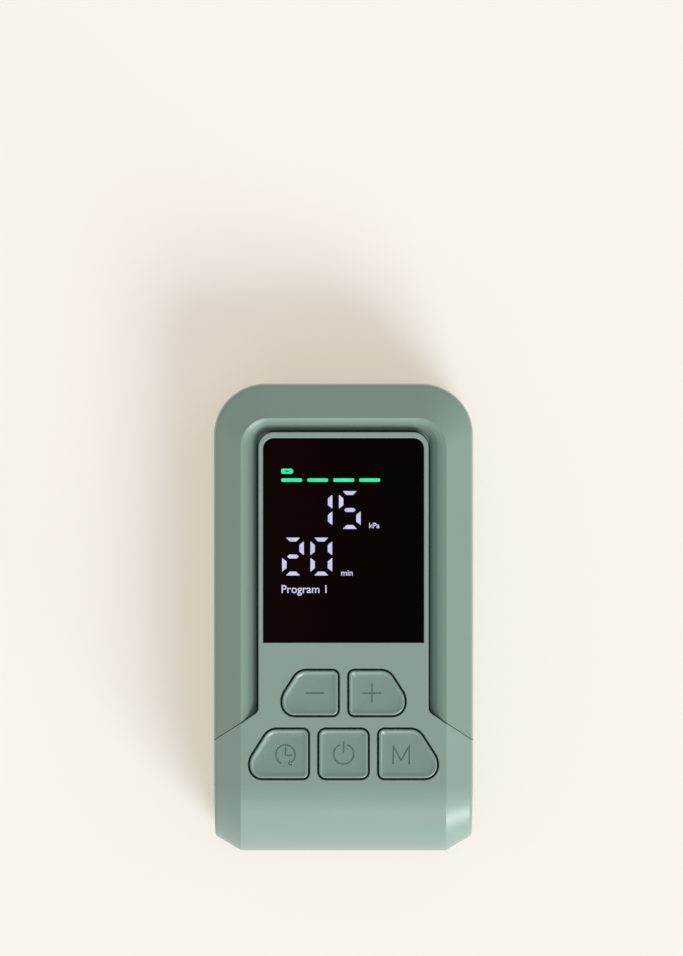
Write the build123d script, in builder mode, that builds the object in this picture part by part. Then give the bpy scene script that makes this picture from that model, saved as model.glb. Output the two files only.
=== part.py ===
# Hand-held air pump for compression boots: casing, keys, display, boards, battery, pump and valves.
# Millimetres. The unit lies on its four feet with its face up, +Y towards the display end.
import os
from math import radians, tan

from build123d import *

os.makedirs("parts", exist_ok=True)

# Casing
casing_width = 100.0
casing_length = 180.0
casing_height = 52.0  # feet to face
parting_z = 26.0  # joint between the front and the back
foot_stand = 1.5  # the feet hold the back this far off the table
wall = 2.4
draft_angle = 1.8
corner_radius = 20.0
back_edge_radius = 7.0
rim_edge_radius = 2.2  # outer edge of the sloping rim, and the lower corners at the parting line
side_bend_radius = 40.0  # where the sides start to close in towards the lower end
back_corner_radius = 10.0  # lower corners at the back face
end_bend_radius = 0.6
side_rim_width = 10.6  # crease to side, seen from above
top_rim_width = 13.4
rim_drop = 5.9
crease_radius = 11.0
seam_gap = 0.25
slide_fit = 0.1  # gap round a part that drops into a recess
seat_gap = 0.3  # gap below a part that floats on its seat
overcut = 1.0  # a cutting tool runs this far past the faces it opens

# Display island
slope_side_run = 6.8  # crease to island
slope_top_run = 5.4
island_radius = 6.0
lens_side_border = 1.95  # island edge to glass
lens_top_border = 2.5
lens_key_gap = 10.15  # glass to the upper keys
lens_thickness = 1.6
lens_sink = 0.1
lens_radius = 4.0
lens_ledge = 3.0
ledge_thickness = 2.4
border_round = 0.35
key_hole_round = 0.4
island_round = 0.4
slope_depth = 5.0  # the frame's inner slope falls this far to the island
slope_steps = 5
slope_straight_share = 0.35  # the rest of the fall grows with the square of the run
rail_inset = 0.5  # the lip's outer edge lies this far inside the crease
lip_thickness = 2.2
skirt_thickness = 2.2
flange_reach = 3.0
flange_thickness = 1.3
flange_gap = 0.5  # between the lip and the flange below it
seam_bend_drop = 16.45  # the seam turns outwards this far below the tops of the upper keys
seam_bend_radius = 2.8
seam_slope = 33.3  # degrees below the cross direction

# Keys
key_end_margin = 2.0  # lower keys to the rolled end
key_middle_gap = 2.95
upper_key_margin = 8.5  # upper keys to the island's edge
upper_key_height = 18.45
key_row_gap = 4.05
lower_key_margin = 2.9  # lower keys to the crease
lower_key_height = 20.05
power_key_width = 20.0
key_side_gap = 2.9
upper_slant_run = 6.5
lower_slant_run = 7.6
slant_lean = 32.5  # degrees off the long direction
key_radius = 2.7
slant_radius = 6.0
slant_end_radius = 7.5
outer_radius = 5.5
power_radius = 3.2
least_radius = 1.0
key_clearance = 0.72
key_edge_round = 0.5
key_travel = 1.0
key_stand = 0.3  # the key's rim stands above the face
dish_depth = 0.8
dish_edge = 0.6
dish_band = 2.1
dish_bend = (0.75, 0.4)  # shares of the depth and the band where the dish's slope eases
collar_thickness = 1.2
collar_depth = 2.0
key_flange = 1.2
key_flange_thickness = 1.2
stem_radius = 1.6
stem_clearance = 0.2
stem_entry = 0.9  # the stem reaches this far into its switch

# Main board
board_depth = 11.0  # face to the board's top
board_thickness = 1.6
board_side_gap = 1.0  # island's edge to the board's edge
board_top_gap = 1.2
board_tail = 4.0  # the board runs this far past its lower posts
board_corner = 3.0
plug_inset = 4.6  # board's side to the middle of a plug
left_plug_gap = 14.8  # middle posts to the left plug, towards the keys
right_plug_gap = 39.2  # middle posts to the right plug, towards the display
lower_plug_gap = 8.0  # lower posts to the lower plug
switch_size = 6.2
switch_height = 3.6
post_radius = 2.6
post_inset = 3.2  # board's side to the posts
upper_post_inset = 9.2  # island's upper edge to the upper posts
middle_post_gap = 5.9  # glass to the middle posts
lower_post_inset = 7.6
lower_post_gap = 6.0  # lower keys to the lower posts
board_screw_radius = 0.9
board_screw_length = 6.0
board_screw_tip_gap = 1.0
board_screw_head = 1.8
board_screw_head_height = 1.3
board_hole_clearance = 0.3
screw_clearance = 0.05

# Case screws and feet
case_screw_radius = 1.25
case_screw_length = 18.0
case_screw_head = 2.9
case_head_height = 2.2
case_screw_tip_gap = 2.0
screw_hole_clearance = 0.3
recess_length = 3.4  # cross recess in a case screw's head
recess_width = 0.8
recess_depth = 1.2
recess_taper = 10.0
boss_wall = 2.3
well_wall = 1.3
upper_boss_inset = (13.0, 15.0)  # from the casing's side and its end
lower_boss_inset = (14.0, 18.0)
counterbore_depth = 4.5
boss_split_z = 12.0
foot_radius = 5.0
foot_recess = 1.0
foot_chamfer = 0.4
foot_inset = 19.0  # casing's side to the feet
upper_foot_inset = 34.0
lower_foot_inset = 38.0

# Hose sockets and nozzles
socket_x = 17.0
socket_z = 16.0
socket_width = 24.0
socket_height = 12.0
socket_depth = 10.0
socket_wall = 1.2
socket_floor = 2.0
socket_flange = 1.6
socket_flange_thickness = 1.5
socket_flange_gap = 2.0  # end wall to flange
socket_sink = 0.9  # the cup's rim lies this far inside the end face
nozzle_pitch = 5.2
nozzle_count = 4
nozzle_radius = 2.1
nozzle_bore = 1.2
nozzle_length = 8.0
nozzle_chamfer = 0.4
barb_radius = 1.6
barb_bore = 0.9
barb_length = 6.0
tube_wall = 0.8
tube_fit = 0.02

# Air pump
pump_side_gap = 12.1  # pump block to the side wall
pump_stand = 1.8  # rubber below the pump block
motor_radius = 12.2
motor_end_gap = 32.0  # casing's lower end to the motor
motor_length = 31.0
motor_wall = 0.8
shaft_radius = 1.0
shaft_fit = 0.05
shaft_stub = 1.0  # the shaft stands out of the can's far end
armature_radius = 9.2
armature_poles = 3
pole_slot_width = 2.4
pole_slot_depth = 4.5
magnet_thickness = 1.4
magnet_share = 0.7  # of the can's inner length
magnet_split = 3.0
crank_gap = 1.0
crank_thickness = 4.0
crank_offset = 1.6
crank_radius = 5.0
crank_pin_radius = 0.9
crank_pin_clearance = 0.3
pump_size = 27.0
pump_corner_radius = 2.5
housing_length = 18.0
housing_wall = 2.0
sheet_thickness = 1.5
cup_depth = 3.0
cup_count = 3
plate_gap = 1.9  # nodding plate to the chamber's wall
plate_thickness = 2.0
cover_thickness = 6.0
cover_chamfer = 0.8
outlet_radius = 2.1
outlet_length = 6.5
pump_screw_radius = 1.0
pump_screw_inset = 2.6
pump_screw_grip = 6.0
pump_screw_head = 1.9
pump_screw_head_height = 1.4
motor_pad_inset = 6.0
motor_pad_length = 12.0
motor_pad_rise = 6.0
pump_pad_inset = 3.0
pump_pad_length = 10.0
pad_half_width = 10.0

# Manifold and valves
manifold_depth = 10.0
manifold_height = 14.0
manifold_radius = 1.5
manifold_margin = 4.2
manifold_rib_width = 8.0
manifold_rib_inset = 1.0
sensor_inset = 11.6  # board's side to the sensor
sensor_size = 7.0
sensor_height = 4.0
sensor_barb_radius = 1.2
sensor_barb_gap = 2.4  # between the manifold's barb and the sensor's
valve_count = 4
valve_pitch = 12.0
valve_tube_gap = 1.6  # last valve to the pump's tube
valve_gap = 2.5  # battery tray to the valves
valve_width = 11.0
valve_height = 12.0
valve_length = 22.0
yoke_plate = 1.5
coil_radius = 4.4
coil_bore = 2.15
coil_length = 15.0
coil_gap = 1.0
valve_seat_gap = 0.1
plunger_chamfer = 0.3
plunger_radius = 1.9
plunger_length = 14.2
plunger_travel = 1.2
core_radius = 2.0

# Battery
cell_radius = 9.2
cell_length = 65.0
cell_count = 2
cell_pitch = 18.9
battery_side_gap = 6.35  # battery tray to the side wall
battery_end_gap = 32.0  # casing's lower end to the cells
cell_chamfer = 0.5
tray_thickness = 1.5
tray_margin = 0.6
tray_end_gap = 1.0
tray_rib = 4.0
tray_rib_count = 3
tray_height_share = 0.8  # of the cell's radius
tab_thickness = 0.3
tab_height = 5.0
tab_overlap = 6.0

# Charge port
port_width = 8.94
port_height = 3.26
port_depth = 7.3
port_z = 14.4
port_shell = 0.3
port_clearance = 0.35
port_sink = 1.1  # the port's mouth lies this far inside the lower end
port_back = 1.0
port_tongue = 0.7
port_tongue_inset = 0.8
charge_board_gap = 1.0
charge_rib_width = 1.5
charge_rib_inset = 2.0
charge_board_length = 18.5
charge_board_width = 18.0
charge_board_thickness = 1.2

# Light box below the lens
module_gap = 2.2  # window edge to light box
module_end_gap = 0.5
module_radius = 1.0
module_floor = 1.5
module_well_rows = 6
module_well_columns = 4
module_web = 1.5
film_thickness = 0.3

# Buzzer
buzzer_inset = 17.6  # board's side to the buzzer
buzzer_gap = 16.0  # lower posts to the buzzer
buzzer_radius = 6.0
buzzer_height = 4.0
buzzer_hole = 1.0

# Back shell
lip_clearance = 0.35
lip_width = 0.95
lip_height = 2.5
lip_root = 3.0
vent_count = 7
vent_width = 2.0
vent_length = 20.0
vent_pitch = 4.5
vent_inset = 32.0  # casing's upper end to the middle of the vents

# Levels and lines that follow from the sizes above
half_width = casing_width / 2
half_length = casing_length / 2
face_z = casing_height
back_z = foot_stand
floor_z = back_z + wall
roll_radius = face_z - parting_z
roll_y = roll_radius - half_length
draft_slope = tan(radians(draft_angle))
crease_x = half_width - side_rim_width
crease_y = half_length - top_rim_width
island_half_width = crease_x - slope_side_run
island_top_y = crease_y - slope_top_run
power_half = power_key_width / 2
upper_key_width = island_half_width - upper_key_margin - key_middle_gap / 2
lower_key_width = crease_x - lower_key_margin - power_half - key_side_gap
lower_key_bottom_y = roll_y + key_end_margin
lower_key_top_y = lower_key_bottom_y + lower_key_height
key_row_top_y = lower_key_top_y + key_row_gap + upper_key_height
seam_bend_y = key_row_top_y - seam_bend_drop
lens_half_width = island_half_width - lens_side_border
lens_top_y = island_top_y - lens_top_border
lens_bottom_y = key_row_top_y + lens_key_gap
lens_seat_z = face_z - lens_sink - lens_thickness
block_bottom_z = lens_seat_z - ledge_thickness
slope_bottom_z = face_z - slope_depth
lip_bottom_z = slope_bottom_z - lip_thickness
flange_bottom_z = lip_bottom_z - flange_gap - flange_thickness
board_top_z = face_z - board_depth
board_bottom_z = board_top_z - board_thickness
board_half_width = island_half_width - board_side_gap
board_top_y = island_top_y - board_top_gap
collar_bottom_z = face_z - wall - collar_depth
key_flange_top_z = collar_bottom_z - seat_gap
key_flange_bottom_z = key_flange_top_z - key_flange_thickness
switch_top_z = board_top_z + switch_height
stem_end_z = switch_top_z - stem_entry
switch_floor_z = stem_end_z - key_travel - seat_gap


def meet(first, second):
    # crossing point of two lines, each a point and a direction
    (start, along), (other, across) = first, second
    turn = along.X * across.Y - along.Y * across.X
    reach = ((other.X - start.X) * across.Y - (other.Y - start.Y) * across.X) / turn
    return Vector(start.X + along.X * reach, start.Y + along.Y * reach)


def shifted(start, end, inset):
    # the line from start to end, moved to its right by inset
    along = (end - start).normalized()
    return start + Vector(along.Y, -along.X) * inset, along


def rim_profile(reach, rim_width, inset):
    # crease, outer edge and parting line as (distance from the middle, height)
    edge_z = face_z - rim_drop
    middle = Vector(0, face_z)
    crease = Vector(reach - rim_width, face_z)
    edge = Vector(reach - (edge_z - parting_z) * draft_slope, edge_z)
    base = Vector(reach, parting_z)
    top_line = shifted(middle, crease, inset)
    rim_line = shifted(crease, edge, inset)
    side_line = shifted(edge, base, inset)
    base_line = (base, Vector(1, 0))
    return meet(top_line, rim_line), meet(rim_line, side_line), meet(side_line, base_line)


def corner_radii(inset):
    # plan radius of the upper corners at the crease, the outer edge and the parting line
    edge_loss = (face_z - rim_drop - parting_z) * draft_slope
    return crease_radius - inset / 4, corner_radius - edge_loss - inset, corner_radius - inset


def arch(half, top_y, bottom_y, radius):
    # an upright arch with two rounded upper corners
    with BuildSketch() as outline:
        with BuildLine():
            FilletPolyline((-half, bottom_y), (-half, top_y), (half, top_y), (half, bottom_y), radius=radius)
            Line((half, bottom_y), (-half, bottom_y))
        make_face()
    return outline.sketch


def front_form(inset):
    # the front half as a closed block: sloping rim on three sides, rolled lower end
    side = rim_profile(half_width, side_rim_width, inset)
    top = rim_profile(half_length, top_rim_width, inset)
    with BuildPart() as form:
        for side_point, top_point, radius in zip(side, top, corner_radii(inset)):
            with BuildSketch(Plane.XY.offset(side_point.Y)):
                add(arch(side_point.X, top_point.X, roll_y, radius))
        loft(ruled=True)
        with BuildSketch(Plane.XZ.offset(-roll_y)):
            with BuildLine():
                right = [(point.X, point.Y) for point in side]
                left = [(-x, z) for x, z in reversed(right)]
                Polyline(*right, *left, close=True)
            make_face()
        revolve(axis=Axis((0, roll_y, parting_z), (1, 0, 0)), revolution_arc=90)
    return form.part


def rim_edges(form):
    # the outer edge of the rim, along the sides, round the corners and down the rolled end
    side_x = rim_profile(half_width, side_rim_width, 0)[1].X
    edge_z = face_z - rim_drop
    near = 0.01
    flat = form.edges().filter_by(lambda e: abs((e @ 0.5).Z - edge_z) < near)
    level = flat.filter_by(lambda e: (e @ 0.5).Y > roll_y + near)
    circles = form.edges().filter_by(GeomType.CIRCLE)
    rolled = circles.filter_by(lambda e: abs(abs((e @ 0.5).X) - side_x) < near)
    return level + rolled


def back_outline(inset, corner=rim_edge_radius, bend=end_bend_radius):
    # the casing's outline at the parting plane, with the radii of its lower corners
    crease, edge, base = rim_profile(half_width, side_rim_width, inset)
    top_y = rim_profile(half_length, top_rim_width, inset)[2].X
    edge_y = roll_y - (edge.Y - parting_z)
    end_y = roll_y - (crease.Y - parting_z)
    points = [(base.X, roll_y), (edge.X, edge_y), (crease.X, end_y)]
    lower = points + [(-x, y) for x, y in reversed(points)]
    upper = corner_radius - inset
    radii = [upper, upper, side_bend_radius, corner, bend, bend, corner, side_bend_radius]
    with BuildSketch() as outline:
        with BuildLine():
            FilletPolyline((-base.X, top_y), (base.X, top_y), *lower, radius=radii, close=True)
        make_face()
    return outline.sketch


def panel_outline(grow):
    # seen from above: display island, slanted seams and the whole lower front
    beyond = half_width + 10 * overcut
    bend = (island_half_width, seam_bend_y)
    outer = (beyond, seam_bend_y - (beyond - island_half_width) * tan(radians(seam_slope)))
    below = (beyond, -half_length - 10 * overcut)
    right = [(island_half_width, island_top_y), bend, outer, below]
    left = [(-x, y) for x, y in reversed(right)]
    bend_radius = seam_bend_radius
    radii = [island_radius, bend_radius, 0, 0, 0, 0, bend_radius, island_radius]
    with BuildSketch() as outline:
        with BuildLine():
            FilletPolyline(*right, *left, radius=radii, close=True)
        make_face()
        if grow:
            offset(amount=grow)
    return outline.sketch


def slanted_key(inner_x, width, top_y, height, run):
    # corners and radii of a key with its outer upper corner cut away
    outer_x = inner_x + width
    drop = run / tan(radians(slant_lean))
    bottom_y = top_y - height
    slant = [(outer_x - run, top_y), (outer_x, top_y - drop)]
    corners = [(inner_x, top_y), *slant, (outer_x, bottom_y), (inner_x, bottom_y)]
    return corners, [key_radius, slant_radius, slant_end_radius, outer_radius, key_radius]


def mirrored(shape):
    corners, radii = shape
    return [(-x, y) for x, y in reversed(corners)], list(reversed(radii))


def key_outline(shape, inset):
    # the key's outline moved inwards, or outwards where inset is below zero
    corners, radii = shape
    points = [Vector(*corner) for corner in corners]
    sides = [shifted(start, end, inset) for start, end in zip(points, points[1:] + points[:1])]
    inner = [meet(before, after) for before, after in zip(sides[-1:] + sides[:-1], sides)]
    with BuildSketch() as outline:
        with BuildLine():
            inner_radii = [max(radius - inset, least_radius) for radius in radii]
            FilletPolyline(*inner, radius=inner_radii, close=True)
        make_face()
    return outline.sketch


power_corners = [
    (-power_half, lower_key_top_y),
    (power_half, lower_key_top_y),
    (power_half, lower_key_bottom_y),
    (-power_half, lower_key_bottom_y),
]
plus_shape = slanted_key(
    key_middle_gap / 2, upper_key_width, key_row_top_y, upper_key_height, upper_slant_run
)
mode_shape = slanted_key(
    power_half + key_side_gap, lower_key_width, lower_key_top_y, lower_key_height, lower_slant_run
)
key_shapes = {
    "minus": mirrored(plus_shape),
    "plus": plus_shape,
    "timer": mirrored(mode_shape),
    "power": (power_corners, [power_radius] * 4),
    "mode": mode_shape,
}
upper_stem_y = key_row_top_y - upper_key_height / 2
lower_stem_y = lower_key_top_y - lower_key_height / 2
upper_stem_x = (key_middle_gap + upper_key_width) / 2
lower_stem_x = power_half + key_side_gap + lower_key_width / 2
key_stems = {
    "minus": (-upper_stem_x, upper_stem_y),
    "plus": (upper_stem_x, upper_stem_y),
    "timer": (-lower_stem_x, lower_stem_y),
    "power": (0, lower_stem_y),
    "mode": (lower_stem_x, lower_stem_y),
}
post_x = board_half_width - post_inset
post_rows = (island_top_y - upper_post_inset, lens_bottom_y - middle_post_gap)
lower_post_x = board_half_width - lower_post_inset
lower_post_y = lower_key_bottom_y - lower_post_gap
board_bottom_y = lower_post_y - board_tail
post_places = [(x, y) for y in post_rows for x in (-post_x, post_x)]
post_places += [(-lower_post_x, lower_post_y), (lower_post_x, lower_post_y)]
upper_boss = (half_width - upper_boss_inset[0], half_length - upper_boss_inset[1])
lower_boss = (half_width - lower_boss_inset[0], lower_boss_inset[1] - half_length)
upper_bosses = [(-upper_boss[0], upper_boss[1]), upper_boss]
lower_bosses = [(-lower_boss[0], lower_boss[1]), lower_boss]
boss_radius = case_screw_radius + boss_wall

outer_form = front_form(0)
with BuildPart() as rounded_form:
    add(outer_form)
    fillet(rim_edges(rounded_form), radius=rim_edge_radius)
outer_form = rounded_form.part
inner_form = front_form(wall)
boss_limit = front_form(wall / 2)


def boss_limit_block(bottom_z):
    # the inside of the front as far as half the wall, lengthened downwards
    with BuildPart() as block:
        add(boss_limit)
        if bottom_z < parting_z:
            with BuildSketch(Plane.XY.offset(bottom_z)):
                add(back_outline(wall / 2))
            extrude(amount=parting_z - bottom_z)
    return block.part


def hanging_posts(places, radius, bottom_z):
    # round posts that hang from the inside of the front
    with BuildPart() as posts:
        with BuildSketch(Plane.XY.offset(bottom_z)):
            with Locations(*places):
                Circle(radius)
        extrude(amount=face_z - bottom_z)
        add(boss_limit_block(bottom_z), mode=Mode.INTERSECT)
    return posts.part


def finish(piece, label):
    piece.part.label = label
    export_step(piece.part, f"parts/{label}.step")


# The raised frame round the display
with BuildPart() as front_frame:
    add(outer_form)
    add(inner_form, mode=Mode.SUBTRACT)
    with BuildSketch(Plane.XY.offset(lip_bottom_z)):
        add(arch(crease_x - rail_inset, crease_y - rail_inset, roll_y, crease_radius - rail_inset))
    extrude(amount=face_z - lip_bottom_z)
    with BuildSketch(Plane.XY.offset(parting_z)):
        add(panel_outline(seam_gap))
    extrude(amount=roll_radius + overcut, mode=Mode.SUBTRACT)
    # the inner slope, steeper towards the island
    slope_x = crease_x - island_half_width - seam_gap
    slope_y = crease_y - island_top_y - seam_gap
    for step in range(slope_steps):
        share = step / (slope_steps - 1)
        fall = slope_straight_share * share + (1 - slope_straight_share) * share**2
        with BuildSketch(Plane.XY.offset(face_z - slope_depth * fall)):
            half = crease_x - slope_x * share
            top = crease_y - slope_y * share
            add(arch(half, top, roll_y, crease_radius - slope_x * share))
    loft(ruled=True, mode=Mode.SUBTRACT)
    add(hanging_posts(upper_bosses, boss_radius, boss_split_z))
    with BuildSketch(Plane.XY.offset(boss_split_z)):
        with Locations(*upper_bosses):
            Circle(case_screw_radius + screw_clearance)
    extrude(amount=case_screw_length, mode=Mode.SUBTRACT)
finish(front_frame, "front_frame")

# The island round the display and the whole lower front, in one moulding
with BuildPart() as front_panel:
    add(outer_form)
    add(inner_form, mode=Mode.SUBTRACT)
    with BuildSketch(Plane.XY.offset(block_bottom_z)):
        add(arch(island_half_width, island_top_y, lens_bottom_y - lens_top_border, island_radius))
    extrude(amount=face_z - block_bottom_z)
    with BuildSketch(Plane.XY.offset(flange_bottom_z)):
        add(arch(island_half_width, island_top_y, seam_bend_y, island_radius))
        inner_radius = island_radius - skirt_thickness
        inner_half = island_half_width - skirt_thickness
        add(arch(inner_half, island_top_y - skirt_thickness, seam_bend_y, inner_radius), mode=Mode.SUBTRACT)
    extrude(amount=face_z - flange_bottom_z - wall / 2)
    for shape in key_shapes.values():
        with BuildSketch(Plane.XY.offset(collar_bottom_z)):
            add(key_outline(shape, -collar_thickness))
        extrude(amount=collar_depth + wall / 2)
    add(hanging_posts(post_places, post_radius, board_top_z))
    add(hanging_posts(lower_bosses, boss_radius, boss_split_z))
    with BuildSketch(Plane.XY.offset(boss_split_z)):
        add(panel_outline(0))
    extrude(amount=face_z - boss_split_z + overcut, mode=Mode.INTERSECT)
    # flange that hooks below the frame's lip
    with BuildSketch(Plane.XY.offset(flange_bottom_z)):
        flange_bottom_y = seam_bend_y + flange_reach
        outer_half = island_half_width + flange_reach
        inner_top_y = island_top_y - skirt_thickness
        add(arch(outer_half, island_top_y + flange_reach, flange_bottom_y, island_radius + flange_reach))
        add(arch(inner_half, inner_top_y, flange_bottom_y, inner_radius), mode=Mode.SUBTRACT)
    extrude(amount=flange_thickness)
    with BuildSketch(Plane.XY.offset(lens_seat_z)):
        pocket_top_y = lens_top_y + slide_fit
        add(arch(lens_half_width + slide_fit, pocket_top_y, lens_bottom_y - slide_fit, lens_radius))
    extrude(amount=face_z - lens_seat_z, mode=Mode.SUBTRACT)
    with BuildSketch(Plane.XY.offset(block_bottom_z)):
        window_half = lens_half_width - lens_ledge
        add(arch(window_half, lens_top_y - lens_ledge, lens_bottom_y + lens_ledge, lens_radius / 2))
    extrude(amount=lens_seat_z - block_bottom_z, mode=Mode.SUBTRACT)
    for shape in key_shapes.values():
        with BuildSketch(Plane.XY.offset(collar_bottom_z)):
            add(key_outline(shape, 0))
        extrude(amount=face_z - collar_bottom_z, mode=Mode.SUBTRACT)
    face = front_panel.faces().filter_by(Plane.XY).sort_by(Axis.Z)[-1]
    key_holes = face.inner_wires().sort_by(Axis.Y)[:-1]
    fillet([edge for wire in key_holes for edge in wire.edges()], radius=key_hole_round)
    face = front_panel.faces().filter_by(Plane.XY).sort_by(Axis.Z)[-1]
    lens_edge = face.inner_wires().sort_by(Axis.Y)[-1]
    fillet(lens_edge.edges(), radius=border_round)
    face = front_panel.faces().filter_by(Plane.XY).sort_by(Axis.Z)[-1]
    fillet(face.outer_wire().edges().filter_by(lambda e: (e @ 0.5).Y > seam_bend_y), radius=island_round)
    with BuildSketch(Plane.XY.offset(board_top_z)):
        with Locations(*post_places):
            Circle(board_screw_radius + screw_clearance)
    extrude(amount=board_screw_length, mode=Mode.SUBTRACT)
    with BuildSketch(Plane.XY.offset(boss_split_z)):
        with Locations(*lower_bosses):
            Circle(case_screw_radius + screw_clearance)
    extrude(amount=case_screw_length, mode=Mode.SUBTRACT)
finish(front_panel, "front_panel")

with BuildPart() as display_lens:
    with BuildSketch(Plane.XY.offset(lens_seat_z)):
        add(arch(lens_half_width, lens_top_y, lens_bottom_y, lens_radius - slide_fit))
    extrude(amount=lens_thickness)
finish(display_lens, "display_lens")

# Five keys, each dished, with a flange that stops it below the face and a stem for its switch
for name, shape in key_shapes.items():
    with BuildPart() as key:
        rim_z = face_z + key_stand
        with BuildSketch(Plane.XY.offset(key_flange_bottom_z)):
            add(key_outline(shape, key_clearance - key_flange))
        extrude(amount=key_flange_thickness)
        with BuildSketch(Plane.XY.offset(key_flange_top_z)):
            add(key_outline(shape, key_clearance))
        extrude(amount=rim_z - key_flange_top_z)
        rim = key.edges().filter_by_position(Axis.Z, rim_z, rim_z)
        fillet(rim, radius=key_edge_round)
        for fall, reach in ((0, 0), dish_bend, (1, 1)):
            with BuildSketch(Plane.XY.offset(rim_z - dish_depth * fall)):
                add(key_outline(shape, key_clearance + dish_edge + dish_band * reach))
        loft(ruled=True, mode=Mode.SUBTRACT)
        with BuildSketch(Plane.XY.offset(stem_end_z)):
            with Locations(key_stems[name]):
                Circle(stem_radius)
        extrude(amount=key_flange_bottom_z - stem_end_z)
    finish(key, f"{name}_button")

# The main board with its switches, screws and parts
with BuildPart() as main_board:
    with BuildSketch(Plane.XY.offset(board_bottom_z)):
        with BuildLine():
            right = [(board_half_width, board_top_y), (board_half_width, board_bottom_y)]
            left = [(-x, y) for x, y in reversed(right)]
            FilletPolyline(*right, *left, radius=board_corner, close=True)
        make_face()
        with Locations(*post_places):
            Circle(board_screw_radius + board_hole_clearance, mode=Mode.SUBTRACT)
    extrude(amount=board_thickness)
finish(main_board, "main_board")

with BuildPart() as key_switches:
    with BuildSketch(Plane.XY.offset(board_top_z)):
        with Locations(*key_stems.values()):
            Rectangle(switch_size, switch_size)
    extrude(amount=switch_height)
    with BuildSketch(Plane.XY.offset(switch_floor_z)):
        with Locations(*key_stems.values()):
            Circle(stem_radius + stem_clearance)
    extrude(amount=switch_top_z - switch_floor_z, mode=Mode.SUBTRACT)
finish(key_switches, "key_switches")

with BuildPart() as board_screws:
    with BuildSketch(Plane.XY.offset(board_bottom_z)):
        with Locations(*post_places):
            Circle(board_screw_radius)
    extrude(amount=board_thickness + board_screw_length - board_screw_tip_gap)
    with BuildSketch(Plane.XY.offset(board_bottom_z)):
        with Locations(*post_places):
            Circle(board_screw_head)
    extrude(amount=-board_screw_head_height)
finish(board_screws, "board_screws")

# The light box that shows the signs through the lens, and the film above it
module_half = window_half - module_gap
module_top_y = lens_top_y - lens_ledge - module_end_gap
module_bottom_y = lens_bottom_y + lens_ledge + module_end_gap
film_bottom_z = lens_seat_z - film_thickness - slide_fit
with BuildPart() as display_module:
    with BuildSketch(Plane.XY.offset(board_top_z)):
        add(arch(module_half, module_top_y, module_bottom_y, module_radius))
    extrude(amount=film_bottom_z - board_top_z)
    with BuildSketch(Plane.XY.offset(board_top_z + module_floor)):
        well_pitch_x = 2 * module_half / module_well_columns
        well_pitch_y = (module_top_y - module_bottom_y) / module_well_rows
        with Locations((0, (module_top_y + module_bottom_y) / 2)):
            with GridLocations(well_pitch_x, well_pitch_y, module_well_columns, module_well_rows):
                Rectangle(well_pitch_x - module_web, well_pitch_y - module_web)
    extrude(amount=film_bottom_z - board_top_z, mode=Mode.SUBTRACT)
finish(display_module, "display_module")

with BuildPart() as diffuser_film:
    with BuildSketch(Plane.XY.offset(film_bottom_z)):
        add(arch(module_half, module_top_y, module_bottom_y, module_radius))
    extrude(amount=film_thickness)
finish(diffuser_film, "diffuser_film")

# Chips, coils and plugs below the board: place, size across and height
plug_x = board_half_width - plug_inset
board_items = [
    ((0, 10), (10, 10), 1.2),
    ((-14, -4), (7, 5), 1.5),
    ((-2, -24), (6, 6), 3.0),
    ((-plug_x, post_rows[1] - left_plug_gap), (5, 12), 5.0),
    ((plug_x, post_rows[1] + right_plug_gap), (5, 14), 5.0),
    ((-8, 52), (4.5, 4.5), 1.0),
    ((6, 52), (8, 4), 2.0),
    ((4, lower_post_y + lower_plug_gap), (12, 5), 4.0),
]
with BuildPart() as board_parts:
    for place, size, height in board_items:
        with BuildSketch(Plane.XY.offset(board_bottom_z)):
            with Locations(place):
                Rectangle(*size)
        extrude(amount=-height)
finish(board_parts, "board_parts")

buzzer_place = (buzzer_inset - board_half_width, lower_post_y + buzzer_gap)
with BuildPart() as buzzer:
    with BuildSketch(Plane.XY.offset(board_bottom_z)):
        with Locations(buzzer_place):
            Circle(buzzer_radius)
    extrude(amount=-buzzer_height)
    with BuildSketch(Plane.XY.offset(board_bottom_z - buzzer_height)):
        with Locations(buzzer_place):
            Circle(buzzer_hole)
    extrude(amount=buzzer_height / 2, mode=Mode.SUBTRACT)
finish(buzzer, "buzzer")

# The battery: two cells in a tray, with strips that join their ends
tray_half = cell_pitch * (cell_count - 1) / 2 + cell_radius + tray_margin
battery_x = tray_half + battery_side_gap + wall - half_width
battery_start_y = battery_end_gap - half_length
cell_z = floor_z + tray_thickness + slide_fit + cell_radius
cell_columns = [battery_x + cell_pitch * (i - (cell_count - 1) / 2) for i in range(cell_count)]
cell_end_y = battery_start_y + cell_length
with BuildPart() as battery_cells:
    with BuildSketch(Plane.XZ.offset(-battery_start_y)):
        with Locations(*[(x, cell_z) for x in cell_columns]):
            Circle(cell_radius)
    extrude(amount=-cell_length)
    chamfer(battery_cells.edges().filter_by(GeomType.CIRCLE), length=cell_chamfer)
finish(battery_cells, "battery_cells")

with BuildPart() as battery_tabs:
    for start_y, step in ((battery_start_y, 1), (cell_end_y, -1)):
        with BuildSketch(Plane.XZ.offset(-start_y)):
            with Locations((battery_x, cell_z)):
                Rectangle(cell_pitch + tab_overlap, tab_height)
        extrude(amount=step * tab_thickness)
finish(battery_tabs, "battery_tabs")

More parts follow.
